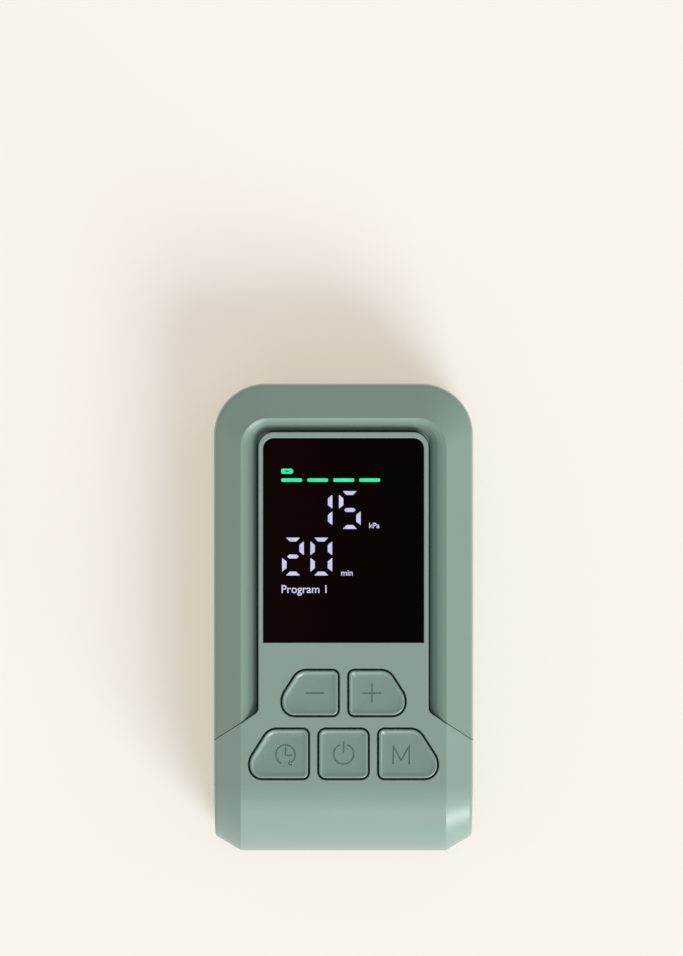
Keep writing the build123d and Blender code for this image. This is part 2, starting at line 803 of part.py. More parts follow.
tray_start_y = battery_start_y - tray_end_gap - tray_thickness
tray_length = cell_length + 2 * (tray_end_gap + tray_thickness)
with BuildPart() as battery_tray:
    tray_middle = (battery_x, tray_start_y + tray_length / 2)
    with BuildSketch(Plane.XY.offset(floor_z)):
        with Locations(tray_middle):
            Rectangle(2 * tray_half, tray_length)
    extrude(amount=tray_thickness)
    with BuildSketch(Plane.XY.offset(floor_z)):
        with Locations(tray_middle):
            with GridLocations(0, tray_length - tray_thickness, 1, 2):
                Rectangle(2 * tray_half, tray_thickness)
            with GridLocations(0, cell_length / tray_rib_count, 1, tray_rib_count):
                Rectangle(2 * tray_half, tray_rib)
    extrude(amount=tray_thickness + cell_radius * tray_height_share)
    with BuildSketch(Plane.XZ.offset(-battery_start_y + tray_end_gap)):
        with Locations(*[(x, cell_z) for x in cell_columns]):
            Circle(cell_radius + slide_fit)
    extrude(amount=-cell_length - 2 * tray_end_gap, mode=Mode.SUBTRACT)
finish(battery_tray, "battery_tray")

# The motor, along Y, with its armature, shaft and crank as the turning piece
pump_x = half_width - wall - pump_side_gap - pump_size / 2
pump_bottom_z = floor_z + pump_stand
pump_z = pump_bottom_z + pump_size / 2
motor_start_y = motor_end_gap - half_length
motor_end_y = motor_start_y + motor_length
housing_end_y = motor_end_y + housing_length
bearing_radius = shaft_radius + shaft_fit
magnet_outer = motor_radius - motor_wall
motor_inner_start_y = motor_start_y + motor_wall
motor_inner_length = motor_length - 2 * motor_wall


def pump_plane(y):
    # a plane across the pump's axis, facing +Y
    return Plane(origin=(pump_x, y, pump_z), x_dir=(1, 0, 0), z_dir=(0, 1, 0))


with BuildPart() as motor_can:
    with BuildSketch(pump_plane(motor_start_y)):
        Circle(motor_radius)
    extrude(amount=motor_length)
    with BuildSketch(pump_plane(motor_inner_start_y)):
        Circle(magnet_outer)
    extrude(amount=motor_inner_length, mode=Mode.SUBTRACT)
    with BuildSketch(pump_plane(motor_start_y)):
        Circle(bearing_radius)
    extrude(amount=motor_length, mode=Mode.SUBTRACT)
finish(motor_can, "motor_can")

magnet_length = motor_inner_length * magnet_share
magnet_start_y = motor_inner_start_y + (motor_inner_length - magnet_length) / 2
with BuildPart() as motor_magnets:
    with BuildSketch(pump_plane(magnet_start_y)):
        Circle(magnet_outer)
        Circle(magnet_outer - magnet_thickness, mode=Mode.SUBTRACT)
        Rectangle(magnet_split, 2 * magnet_outer + overcut, mode=Mode.SUBTRACT)
    extrude(amount=magnet_length)
finish(motor_magnets, "motor_magnets")

chamber_start_y = motor_end_y + housing_wall
crank_start_y = chamber_start_y + crank_gap
chamber_radius = pump_size / 2 - housing_wall
plate_radius = chamber_radius - plate_gap
plate_hole_radius = crank_offset + crank_pin_radius + crank_pin_clearance
cup_radius = (plate_radius - plate_hole_radius) / 2
cup_circle = plate_hole_radius + cup_radius
plate_end_y = housing_end_y - cup_depth
plate_start_y = plate_end_y - plate_thickness
with BuildPart() as motor_rotor:
    shaft_start_y = motor_start_y - shaft_stub
    with BuildSketch(pump_plane(shaft_start_y)):
        Circle(shaft_radius)
    extrude(amount=crank_start_y - shaft_start_y)
    with BuildSketch(pump_plane(magnet_start_y)):
        Circle(armature_radius)
        with PolarLocations(armature_radius, armature_poles):
            Rectangle(2 * pole_slot_depth, pole_slot_width, mode=Mode.SUBTRACT)
    extrude(amount=magnet_length)
    with BuildSketch(pump_plane(crank_start_y)):
        Circle(crank_radius)
    extrude(amount=crank_thickness)
    with BuildSketch(pump_plane(crank_start_y + crank_thickness)):
        with Locations((crank_offset, 0)):
            Circle(crank_pin_radius)
    extrude(amount=plate_end_y - seat_gap - crank_start_y - crank_thickness)
finish(motor_rotor, "motor_rotor")

pump_corner = pump_size / 2 - pump_screw_inset
with BuildPart() as pump_housing:
    with BuildSketch(pump_plane(motor_end_y)):
        RectangleRounded(pump_size, pump_size, pump_corner_radius)
    extrude(amount=housing_length)
    with BuildSketch(pump_plane(chamber_start_y)):
        Circle(chamber_radius)
    extrude(amount=housing_length, mode=Mode.SUBTRACT)
    with BuildSketch(pump_plane(motor_end_y)):
        Circle(bearing_radius + slide_fit)
    extrude(amount=housing_length, mode=Mode.SUBTRACT)
    with BuildSketch(pump_plane(chamber_start_y)):
        with GridLocations(2 * pump_corner, 2 * pump_corner, 2, 2):
            Circle(pump_screw_radius + screw_clearance)
    extrude(amount=housing_length, mode=Mode.SUBTRACT)
finish(pump_housing, "pump_housing")

# The plate nods on the crank's pin and works the three cups of the rubber sheet
with BuildPart() as wobble_plate:
    with BuildSketch(pump_plane(plate_start_y)):
        Circle(plate_radius)
        Circle(plate_hole_radius, mode=Mode.SUBTRACT)
    extrude(amount=plate_thickness)
finish(wobble_plate, "wobble_plate")

with BuildPart() as pump_diaphragm:
    with BuildSketch(pump_plane(housing_end_y)):
        sheet_size = pump_size - 2 * slide_fit
        RectangleRounded(sheet_size, sheet_size, pump_corner_radius)
        with GridLocations(2 * pump_corner, 2 * pump_corner, 2, 2):
            Circle(pump_screw_radius + slide_fit, mode=Mode.SUBTRACT)
    extrude(amount=sheet_thickness)
    with BuildSketch(pump_plane(plate_end_y)):
        with PolarLocations(cup_circle, cup_count):
            Circle(cup_radius)
    extrude(amount=cup_depth)
finish(pump_diaphragm, "pump_diaphragm")

cover_start_y = housing_end_y + sheet_thickness
cover_end_y = cover_start_y + cover_thickness
with BuildPart() as pump_cover:
    with BuildSketch(pump_plane(cover_start_y)):
        RectangleRounded(pump_size, pump_size, pump_corner_radius)
    extrude(amount=cover_thickness)
    chamfer(pump_cover.faces().sort_by(Axis.Y)[-1].outer_wire().edges(), length=cover_chamfer)
    with BuildSketch(pump_plane(cover_end_y)):
        Circle(outlet_radius)
    extrude(amount=outlet_length)
    with BuildSketch(pump_plane(cover_start_y)):
        Circle(nozzle_bore)
        with GridLocations(2 * pump_corner, 2 * pump_corner, 2, 2):
            Circle(pump_screw_radius + slide_fit)
    extrude(amount=cover_thickness + outlet_length, mode=Mode.SUBTRACT)
finish(pump_cover, "pump_cover")

with BuildPart() as pump_screws:
    with BuildSketch(pump_plane(housing_end_y - pump_screw_grip)):
        with GridLocations(2 * pump_corner, 2 * pump_corner, 2, 2):
            Circle(pump_screw_radius)
    extrude(amount=cover_end_y - housing_end_y + pump_screw_grip)
    with BuildSketch(pump_plane(cover_end_y)):
        with GridLocations(2 * pump_corner, 2 * pump_corner, 2, 2):
            Circle(pump_screw_head)
    extrude(amount=pump_screw_head_height)
finish(pump_screws, "pump_screws")

pads = [
    (motor_start_y + motor_pad_inset, motor_pad_length, pump_bottom_z + motor_pad_rise),
    (motor_end_y + pump_pad_inset, pump_pad_length, pump_bottom_z),
]
with BuildPart() as pump_mounts:
    for start_y, length, top_z in pads:
        with BuildSketch(Plane.XY.offset(floor_z)):
            with Locations((pump_x, start_y + length / 2)):
                Rectangle(2 * pad_half_width, length)
        extrude(amount=top_z - floor_z)
    with BuildSketch(pump_plane(motor_start_y)):
        Circle(motor_radius + slide_fit)
    extrude(amount=motor_length, mode=Mode.SUBTRACT)
finish(pump_mounts, "pump_mounts")

# The manifold: one block with the valves on its near face and a barb for each nozzle on its far face
nozzle_offsets = [nozzle_pitch * (i - (nozzle_count - 1) / 2) for i in range(nozzle_count)]
nozzle_columns = [side * socket_x + step for side in (-1, 1) for step in nozzle_offsets]
last_valve_x = pump_x - outlet_radius - tube_wall - valve_tube_gap - valve_width / 2
valve_columns = [last_valve_x - valve_pitch * (valve_count - 1 - i) for i in range(valve_count)]
manifold_reach = max(socket_x + nozzle_offsets[-1], pump_x + outlet_radius, -valve_columns[0])
manifold_half = manifold_reach + manifold_margin
valve_back_y = tray_start_y + tray_length + valve_gap
manifold_y = valve_back_y + valve_length
manifold_end_y = manifold_y + manifold_depth


def cross_plane(y):
    # an upright plane facing +Y, with heights from the table
    return Plane(origin=(0, y, 0), x_dir=(1, 0, 0), z_dir=(0, 1, 0))


def cross_points(columns, z):
    # on such a plane the second axis points down
    return [(x, -z) for x in columns]


sensor_x = sensor_inset - board_half_width
sensor_y = manifold_y + manifold_depth / 2
manifold_top_z = socket_z + manifold_height / 2
sensor_bottom_z = board_bottom_z - sensor_height
sensor_barb_length = (sensor_bottom_z - manifold_top_z - sensor_barb_gap) / 2
with BuildPart() as manifold:
    with BuildSketch(cross_plane(manifold_y)):
        with Locations((0, -socket_z)):
            RectangleRounded(2 * manifold_half, manifold_height, manifold_radius)
    extrude(amount=manifold_depth)
    with BuildSketch(cross_plane(manifold_end_y)):
        with Locations(*cross_points(nozzle_columns, socket_z)):
            Circle(barb_radius)
    extrude(amount=barb_length)
    with BuildSketch(cross_plane(manifold_y - barb_length)):
        with Locations((pump_x, -pump_z)):
            Circle(outlet_radius)
    extrude(amount=barb_length)
    with BuildSketch(Plane.XY.offset(manifold_top_z)):
        with Locations((sensor_x, sensor_y)):
            Circle(sensor_barb_radius)
    extrude(amount=sensor_barb_length)
    with BuildSketch(cross_plane(manifold_end_y - manifold_depth / 2)):
        with Locations(*cross_points(nozzle_columns, socket_z)):
            Circle(barb_bore)
    extrude(amount=manifold_depth / 2 + barb_length, mode=Mode.SUBTRACT)
    with BuildSketch(cross_plane(manifold_y - barb_length)):
        with Locations((pump_x, -pump_z)):
            Circle(nozzle_bore)
    extrude(amount=barb_length + manifold_depth / 2, mode=Mode.SUBTRACT)
    with BuildSketch(cross_plane(manifold_y)):
        with Locations(*cross_points(valve_columns, socket_z)):
            Circle(barb_bore)
    extrude(amount=manifold_depth / 3, mode=Mode.SUBTRACT)
finish(manifold, "manifold")

# Four valves: yoke with a fixed core, coil, and a plunger that slides off its seat
plunger_start_y = manifold_y - valve_seat_gap - plunger_length
core_end_y = plunger_start_y - plunger_travel - seat_gap
coil_start_y = valve_back_y + yoke_plate + coil_gap
with BuildPart() as valve_frames:
    with BuildSketch(cross_plane(valve_back_y)):
        with Locations(*cross_points(valve_columns, socket_z)):
            Rectangle(valve_width, valve_height)
    extrude(amount=valve_length)
    with BuildSketch(cross_plane(valve_back_y + yoke_plate)):
        with Locations(*cross_points(valve_columns, socket_z - yoke_plate)):
            Rectangle(valve_width, valve_height)
    extrude(amount=valve_length - 2 * yoke_plate, mode=Mode.SUBTRACT)
    with BuildSketch(cross_plane(manifold_y - yoke_plate)):
        with Locations(*cross_points(valve_columns, socket_z)):
            Circle(plunger_radius + stem_clearance)
    extrude(amount=yoke_plate, mode=Mode.SUBTRACT)
    with BuildSketch(cross_plane(valve_back_y)):
        with Locations(*cross_points(valve_columns, socket_z)):
            Circle(core_radius)
    extrude(amount=core_end_y - valve_back_y)
finish(valve_frames, "valve_frames")

with BuildPart() as valve_coils:
    with BuildSketch(cross_plane(coil_start_y)):
        with Locations(*cross_points(valve_columns, socket_z)):
            Circle(coil_radius)
            Circle(coil_bore, mode=Mode.SUBTRACT)
    extrude(amount=coil_length)
finish(valve_coils, "valve_coils")

for number, column in enumerate(valve_columns, start=1):
    with BuildPart() as plunger:
        with BuildSketch(cross_plane(plunger_start_y)):
            with Locations(*cross_points([column], socket_z)):
                Circle(plunger_radius)
        extrude(amount=plunger_length)
        chamfer(plunger.edges().filter_by(GeomType.CIRCLE), length=plunger_chamfer)
    finish(plunger, f"valve_plunger_{number}")

# Hose sockets in the end wall: an oblong cup with four nozzles
socket_front_y = half_length - socket_sink
socket_back_y = socket_front_y - socket_depth - socket_floor
for side, column in (("left", -socket_x), ("right", socket_x)):
    with BuildPart() as socket:
        with BuildSketch(cross_plane(socket_back_y)):
            with Locations((column, -socket_z)):
                SlotOverall(socket_width, socket_height)
        extrude(amount=socket_depth + socket_floor)
        with BuildSketch(cross_plane(half_length - wall - socket_flange_gap - socket_flange_thickness)):
            with Locations((column, -socket_z)):
                SlotOverall(socket_width + 2 * socket_flange, socket_height + 2 * socket_flange)
        extrude(amount=socket_flange_thickness)
        with BuildSketch(cross_plane(socket_front_y - socket_depth)):
            with Locations((column, -socket_z)):
                SlotOverall(socket_width - 2 * socket_wall, socket_height - 2 * socket_wall)
        extrude(amount=socket_depth, mode=Mode.SUBTRACT)
        spots = cross_points([column + step for step in nozzle_offsets], socket_z)
        with BuildSketch(cross_plane(socket_front_y - socket_depth)):
            with Locations(*spots):
                Circle(nozzle_radius)
        extrude(amount=nozzle_length)
        tip_y = socket_front_y - socket_depth + nozzle_length
        tips = socket.edges().filter_by(GeomType.CIRCLE).filter_by_position(Axis.Y, tip_y, tip_y)
        chamfer(tips, length=nozzle_chamfer)
        with BuildSketch(cross_plane(socket_back_y - barb_length)):
            with Locations(*spots):
                Circle(barb_radius)
        extrude(amount=barb_length)
        with BuildSketch(cross_plane(socket_back_y - barb_length)):
            with Locations(*spots):
                Circle(barb_bore)
        extrude(amount=barb_length + socket_floor + nozzle_length, mode=Mode.SUBTRACT)
    finish(socket, f"{side}_socket")

tube_start_y = manifold_end_y + seat_gap
tube_end_y = socket_back_y - seat_gap
with BuildPart() as air_tubes:
    with BuildSketch(cross_plane(tube_start_y)):
        with Locations(*cross_points(nozzle_columns, socket_z)):
            Circle(barb_radius + tube_wall)
            Circle(barb_radius + tube_fit, mode=Mode.SUBTRACT)
    extrude(amount=tube_end_y - tube_start_y)
    with BuildSketch(Plane.XY.offset(manifold_top_z + seat_gap)):
        with Locations((sensor_x, sensor_y)):
            Circle(sensor_barb_radius + tube_wall)
            Circle(sensor_barb_radius + tube_fit, mode=Mode.SUBTRACT)
    extrude(amount=sensor_bottom_z - manifold_top_z - 2 * seat_gap)
finish(air_tubes, "air_tubes")

with BuildPart() as pump_tube:
    with BuildSketch(cross_plane(cover_end_y + seat_gap)):
        with Locations((pump_x, -pump_z)):
            Circle(outlet_radius + tube_wall)
            Circle(outlet_radius + tube_fit, mode=Mode.SUBTRACT)
    extrude(amount=manifold_y - cover_end_y - 2 * seat_gap)
finish(pump_tube, "pump_tube")

with BuildPart() as pressure_sensor:
    with BuildSketch(Plane.XY.offset(board_bottom_z)):
        with Locations((sensor_x, sensor_y)):
            Rectangle(sensor_size, sensor_size)
    extrude(amount=-sensor_height)
    with BuildSketch(Plane.XY.offset(sensor_bottom_z)):
        with Locations((sensor_x, sensor_y)):
            Circle(sensor_barb_radius)
    extrude(amount=-sensor_barb_length)
finish(pressure_sensor, "pressure_sensor")

# Charge board and port at the lower end
port_bottom_z = port_z - port_height / 2
charge_board_z = port_bottom_z - charge_board_thickness
port_front_y = -half_length + port_sink
charge_board_start_y = -half_length + wall + charge_board_gap
with BuildPart() as charge_board:
    with BuildSketch(Plane.XY.offset(charge_board_z)):
        with Locations((0, charge_board_start_y + charge_board_length / 2)):
            Rectangle(charge_board_width, charge_board_length)
    extrude(amount=charge_board_thickness)
finish(charge_board, "charge_board")

with BuildPart() as usb_port:
    with BuildSketch(cross_plane(port_front_y)):
        with Locations((0, -port_z)):
            SlotOverall(port_width, port_height)
            SlotOverall(port_width - 2 * port_shell, port_height - 2 * port_shell, mode=Mode.SUBTRACT)
    extrude(amount=port_depth)
    with BuildSketch(cross_plane(port_front_y + port_depth - port_back)):
        with Locations((0, -port_z)):
            SlotOverall(port_width, port_height)
    extrude(amount=port_back)
    with BuildSketch(cross_plane(port_front_y + port_tongue_inset)):
        with Locations((0, -port_z)):
            Rectangle(port_width - port_height, port_tongue)
    extrude(amount=port_depth - port_tongue_inset)
finish(usb_port, "usb_port")

# The back shell: vents, screw wells, feet recesses, end openings, ribs and the lip inside the joint
all_bosses = upper_bosses + lower_bosses
foot_x = half_width - foot_inset
foot_rows = (half_length - upper_foot_inset, lower_foot_inset - half_length)
foot_places = [(x, y) for y in foot_rows for x in (-foot_x, foot_x)]
with BuildPart() as rear_shell:
    back_drop = (parting_z - back_z) * draft_slope
    with BuildSketch(Plane.XY.offset(back_z)):
        add(back_outline(back_drop, back_corner_radius, back_corner_radius))
    with BuildSketch(Plane.XY.offset(parting_z)):
        add(back_outline(0))
    loft(ruled=True)
    fillet(rear_shell.edges().filter_by_position(Axis.Z, back_z, back_z), radius=back_edge_radius)
    floor_drop = (parting_z - floor_z) * draft_slope
    with BuildPart(mode=Mode.PRIVATE) as hollow:
        with BuildSketch(Plane.XY.offset(floor_z)):
            inner_corner = back_corner_radius - wall
            add(back_outline(floor_drop + wall, inner_corner, inner_corner))
        with BuildSketch(Plane.XY.offset(parting_z)):
            add(back_outline(wall))
        loft(ruled=True)
        fillet(hollow.edges().filter_by_position(Axis.Z, floor_z, floor_z), radius=back_edge_radius - wall)
    add(hollow.part, mode=Mode.SUBTRACT)
    inner_lip = wall + lip_clearance
    with BuildSketch(Plane.XY.offset(parting_z - lip_root)):
        add(back_outline(wall / 2))
        add(back_outline(inner_lip + lip_width), mode=Mode.SUBTRACT)
    extrude(amount=lip_root)
    with BuildSketch(Plane.XY.offset(parting_z)):
        add(back_outline(inner_lip))
        add(back_outline(inner_lip + lip_width), mode=Mode.SUBTRACT)
    extrude(amount=lip_height)
    # screw bosses, support ribs
    root_z = (back_z + floor_z) / 2
    with BuildSketch(Plane.XY.offset(root_z)):
        with Locations(*all_bosses):
            Circle(case_screw_head + screw_hole_clearance + well_wall)
    extrude(amount=boss_split_z - slide_fit - root_z)
    with BuildSketch(Plane.XY.offset(root_z)):
        with Locations((0, sensor_y)):
            with GridLocations(1.5 * manifold_half, 0, 2, 1):
                Rectangle(manifold_rib_width, manifold_depth - 2 * manifold_rib_inset)
    extrude(amount=socket_z - manifold_height / 2 - root_z)
    with BuildSketch(Plane.XY.offset(root_z)):
        with Locations((0, charge_board_start_y + charge_board_length / 2)):
            with GridLocations(charge_board_width - 2 * charge_rib_width, 0, 2, 1):
                Rectangle(charge_rib_width, charge_board_length - 2 * charge_rib_inset)
    extrude(amount=charge_board_z - root_z)
    # screw holes from the back
    with BuildSketch(Plane.XY.offset(back_z)):
        with Locations(*all_bosses):
            Circle(case_screw_radius + screw_hole_clearance)
    extrude(amount=parting_z, mode=Mode.SUBTRACT)
    with BuildSketch(Plane.XY.offset(back_z)):
        with Locations(*all_bosses):
            Circle(case_screw_head + screw_hole_clearance)
    extrude(amount=counterbore_depth, mode=Mode.SUBTRACT)
    with BuildSketch(Plane.XY.offset(back_z)):
        with Locations(*foot_places):
            Circle(foot_radius + slide_fit)
    extrude(amount=foot_recess, mode=Mode.SUBTRACT)
    with BuildSketch(Plane.XY.offset(back_z)):
        with Locations((0, half_length - vent_inset)):
            with GridLocations(vent_pitch, 0, vent_count, 1):
                SlotOverall(vent_length, vent_width, rotation=90)
    extrude(amount=wall, mode=Mode.SUBTRACT)
    # openings in the end walls
    end_cut = 3 * wall
    with BuildSketch(cross_plane(half_length + wall - end_cut)):
        with Locations((-socket_x, -socket_z), (socket_x, -socket_z)):
            SlotOverall(socket_width + 2 * slide_fit, socket_height + 2 * slide_fit)
    extrude(amount=end_cut, mode=Mode.SUBTRACT)
    with BuildSketch(cross_plane(-half_length - wall)):
        with Locations((0, -port_z)):
            SlotOverall(port_width + 2 * port_clearance, port_height + 2 * port_clearance)
    extrude(amount=end_cut, mode=Mode.SUBTRACT)
finish(rear_shell, "rear_shell")

with BuildPart() as case_screws:
    head_z = back_z + counterbore_depth
    with BuildSketch(Plane.XY.offset(head_z)):
        with Locations(*all_bosses):
            Circle(case_screw_radius)
    extrude(amount=case_screw_length - case_screw_tip_gap)
    with BuildSketch(Plane.XY.offset(head_z)):
        with Locations(*all_bosses):
            Circle(case_screw_head)
    extrude(amount=-case_head_height)
    with BuildSketch(Plane.XY.offset(head_z - case_head_height)):
        with Locations(*all_bosses):
            Rectangle(recess_length, recess_width)
            Rectangle(recess_width, recess_length)
    extrude(amount=recess_depth, taper=recess_taper, mode=Mode.SUBTRACT)
finish(case_screws, "case_screws")

with BuildPart() as feet:
    with BuildSketch():
        with Locations(*foot_places):
            Circle(foot_radius)
    extrude(amount=back_z + foot_recess)
    chamfer(feet.edges().filter_by_position(Axis.Z, 0, 0), length=foot_chamfer)
finish(feet, "feet")
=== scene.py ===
import math
import bpy
import bmesh
from mathutils import Matrix, Vector


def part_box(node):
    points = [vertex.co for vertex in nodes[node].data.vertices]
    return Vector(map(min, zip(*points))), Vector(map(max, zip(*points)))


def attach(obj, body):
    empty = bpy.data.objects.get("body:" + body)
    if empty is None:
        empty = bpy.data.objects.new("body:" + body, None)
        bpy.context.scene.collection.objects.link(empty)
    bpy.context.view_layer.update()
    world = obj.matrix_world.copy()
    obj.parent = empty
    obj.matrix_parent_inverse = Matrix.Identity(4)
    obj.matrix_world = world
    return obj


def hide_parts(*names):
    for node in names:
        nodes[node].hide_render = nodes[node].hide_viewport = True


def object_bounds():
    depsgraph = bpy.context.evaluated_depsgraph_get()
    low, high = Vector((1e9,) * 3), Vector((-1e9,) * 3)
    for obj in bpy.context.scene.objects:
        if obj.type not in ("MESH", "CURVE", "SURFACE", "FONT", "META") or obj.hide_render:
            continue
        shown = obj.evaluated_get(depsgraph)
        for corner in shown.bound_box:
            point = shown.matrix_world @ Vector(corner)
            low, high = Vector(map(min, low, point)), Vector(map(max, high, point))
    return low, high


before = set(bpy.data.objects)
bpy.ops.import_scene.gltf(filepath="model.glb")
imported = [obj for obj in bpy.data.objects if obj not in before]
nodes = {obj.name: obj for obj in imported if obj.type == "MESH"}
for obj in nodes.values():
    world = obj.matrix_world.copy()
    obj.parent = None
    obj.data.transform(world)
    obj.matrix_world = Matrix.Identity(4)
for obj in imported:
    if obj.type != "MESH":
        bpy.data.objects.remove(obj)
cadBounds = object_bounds()
mm = 0.001
print("frame loaded,", len(nodes), "nodes")

# levels read from the frame, in metres
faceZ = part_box("front_panel")[1].z
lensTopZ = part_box("display_lens")[1].z
floorZ = cadBounds[0].z

camera = {
    "distance": 3.5,  # metres above the face, with a long lens, so the sides stay hidden
    "viewHeight": 0.3677,  # metres that the picture's height covers at the face
    "aimX": -0.00075,
    "aimY": 0.0536,
    "levelZ": 0.036,
    "sensorWidth": 36.0,  # mm
    "clipEnd": 20.0,
}


def makeCamera(c):
    data = bpy.data.cameras.new("studioCamera")
    data.sensor_width = c["sensorWidth"]
    data.lens = c["sensorWidth"] * c["distance"] / c["viewHeight"]
    data.clip_end = c["clipEnd"]
    cam = bpy.data.objects.new("studioCamera", data)
    cam.location = (c["aimX"], c["aimY"], c["levelZ"] + c["distance"])
    bpy.context.collection.objects.link(cam)
    bpy.context.scene.camera = cam


makeCamera(camera)
print("camera set")


# small helpers for colours and shader nodes
def linearColour(red, green, blue):  # screen values 0 to 255
    def one(v):
        v /= 255
        return v / 12.92 if v <= 0.04045 else ((v + 0.055) / 1.055) ** 2.4
    return (one(red), one(green), one(blue), 1.0)


def shade(colour, factor):
    return tuple(min(v * factor, 1.0) for v in colour[:3]) + (1.0,)


def newMaterial(name):
    mat = bpy.data.materials.new(name)
    mat.use_nodes = True
    tree = mat.node_tree
    return mat, tree, tree.nodes["Principled BSDF"]


def mathNode(tree, operation, *values):  # a value is a number or another node's output
    node = tree.nodes.new("ShaderNodeMath")
    node.operation = operation
    for socket, value in zip(node.inputs, values):
        if isinstance(value, bpy.types.NodeSocket):
            tree.links.new(value, socket)
        else:
            socket.default_value = value
    return node.outputs[0]


def mapRange(tree, source, fromLow, fromHigh, toLow=0.0, toHigh=1.0):
    node = tree.nodes.new("ShaderNodeMapRange")
    node.inputs["From Min"].default_value = fromLow
    node.inputs["From Max"].default_value = fromHigh
    node.inputs["To Min"].default_value = toLow
    node.inputs["To Max"].default_value = toHigh
    tree.links.new(source, node.inputs["Value"])
    return node.outputs["Result"]


def colourRamp(tree, source, lowColour, highColour, start=0.0, end=1.0):
    node = tree.nodes.new("ShaderNodeValToRGB")
    low, high = node.color_ramp.elements
    low.position, high.position = start, end
    low.color, high.color = lowColour, highColour
    tree.links.new(source, node.inputs["Fac"])
    return node.outputs["Color"]


def noise(tree, scale, detail=2.0, rough=0.5):
    coords = tree.nodes.new("ShaderNodeTexCoord")
    node = tree.nodes.new("ShaderNodeTexNoise")
    node.inputs["Scale"].default_value = scale
    node.inputs["Detail"].default_value = detail
    node.inputs["Roughness"].default_value = rough
    tree.links.new(coords.outputs["Object"], node.inputs["Vector"])
    return node.outputs["Fac"]


def placeAlong(tree, axis):  # the node's own coordinate along one axis, in metres
    coords = tree.nodes.new("ShaderNodeTexCoord")
    axes = tree.nodes.new("ShaderNodeSeparateXYZ")
    tree.links.new(coords.outputs["Object"], axes.inputs["Vector"])
    return axes.outputs[axis]


def facingUp(tree):  # 1 on a flat top, 0 on an upright wall, -1 underneath
    plain = tree.nodes.new("ShaderNodeNewGeometry")
    axes = tree.nodes.new("ShaderNodeSeparateXYZ")
    tree.links.new(plain.outputs["Normal"], axes.inputs["Vector"])
    return axes.outputs["Z"]


def blendBase(tree, shader, share, newSocket, colour):  # newSocket A is the colour at share 0, B at 1
    mix = tree.nodes.new("ShaderNodeMix")
    mix.data_type = "RGBA"
    mix.inputs[newSocket].default_value = colour
    oldSocket = "A" if newSocket == "B" else "B"
    tree.links.new(share, mix.inputs["Factor"])
    tree.links.new(shader.inputs["Base Color"].links[0].from_socket, mix.inputs[oldSocket])
    tree.links.new(mix.outputs["Result"], shader.inputs["Base Color"])


# what all plastics and metals share
surface = {
    "noiseLow": 0.3,  # nearly all of the noise lies between these two
    "noiseHigh": 0.7,
    "toneDetail": 3.0,
    "roughTimes": 6,  # the gloss changes over spots this many times smaller than the tone's
    "roughSpread": 0.03,
    "grainRough": 0.6,
    "grainDepth": 0.05 * mm,
    "edgeSamples": 6,
    "metalPatch": 220.0,
    "metalChange": 0.06,
    "metalRoughPatch": 900.0,
    "metalRoughSpread": 0.06,
}
seams = {
    "splitLevel": 26.0 * mm,  # where the two halves of the case meet
    "splitHalf": 0.13 * mm,
    # the colour of the painted shade line along the split
    "splitShadeColour": (0.012, 0.018, 0.015, 1),
    "wallLimit": 0.7,  # faces that look further up or down than this aren't walls
    # the colour of the painted shade in narrow gaps and seams
    "gapShadeColour": (0.002, 0.006, 0.004, 1),
    "gapShadeSamples": 12,
    # painted highlight on a key's rim: how far the surface tilts from flat where the painted lightening
    # starts and where it is strongest
    "rimHighlightStart": 0.97,
    "rimHighlightEnd": 0.7,
}


def mottled(tree, shader, colour, scale, amount):  # soft change of tone over the surface
    source = noise(tree, scale, surface["toneDetail"])
    darker, lighter = shade(colour, 1 - amount), shade(colour, 1 + amount)
    tone = colourRamp(tree, source, darker, lighter, surface["noiseLow"], surface["noiseHigh"])
    tree.links.new(tone, shader.inputs["Base Color"])


def unevenGloss(tree, shader, scale, rough, change, detail=2.0):  # spots a little duller or shinier
    source = noise(tree, scale, detail)
    result = mapRange(tree, source, surface["noiseLow"], surface["noiseHigh"], rough - change, rough + change)
    tree.links.new(result, shader.inputs["Roughness"])


def grain(tree, shader, scale, strength, edge):  # fine spark-eroded grain, with softened edges
    source = noise(tree, scale, surface["toneDetail"], surface["grainRough"])
    bump = tree.nodes.new("ShaderNodeBump")
    bump.inputs["Strength"].default_value = strength
    bump.inputs["Distance"].default_value = surface["grainDepth"]
    tree.links.new(source, bump.inputs["Height"])
    if edge:  # sharp edges catch the light as if they were rounded a little
        soft = tree.nodes.new("ShaderNodeBevel")
        soft.samples = surface["edgeSamples"]
        soft.inputs["Radius"].default_value = edge * mm
        tree.links.new(soft.outputs["Normal"], bump.inputs["Normal"])
    tree.links.new(bump.outputs["Normal"], shader.inputs["Normal"])


def splitShadeLine(tree, shader):  # painted shade: a thin dark line around the walls where the halves of the case meet, standing in for the shaded seam groove
    near = mathNode(tree, "COMPARE", placeAlong(tree, "Z"), seams["splitLevel"], seams["splitHalf"])
    wall = mathNode(tree, "COMPARE", facingUp(tree), 0.0, seams["wallLimit"])
    both = mathNode(tree, "MULTIPLY", near, wall)
    blendBase(tree, shader, both, "B", seams["splitShadeColour"])


def paintedRimHighlight(tree, shader, gain):  # painted highlight: a key's rounded rim is made lighter than its dish, as if it caught the light
    scale = tree.nodes.new("ShaderNodeVectorMath")
    scale.operation = "SCALE"
    times = mapRange(tree, facingUp(tree), seams["rimHighlightStart"], seams["rimHighlightEnd"], 1.0, gain)
    tree.links.new(shader.inputs["Base Color"].links[0].from_socket, scale.inputs[0])
    tree.links.new(times, scale.inputs["Scale"])
    tree.links.new(scale.outputs["Vector"], shader.inputs["Base Color"])


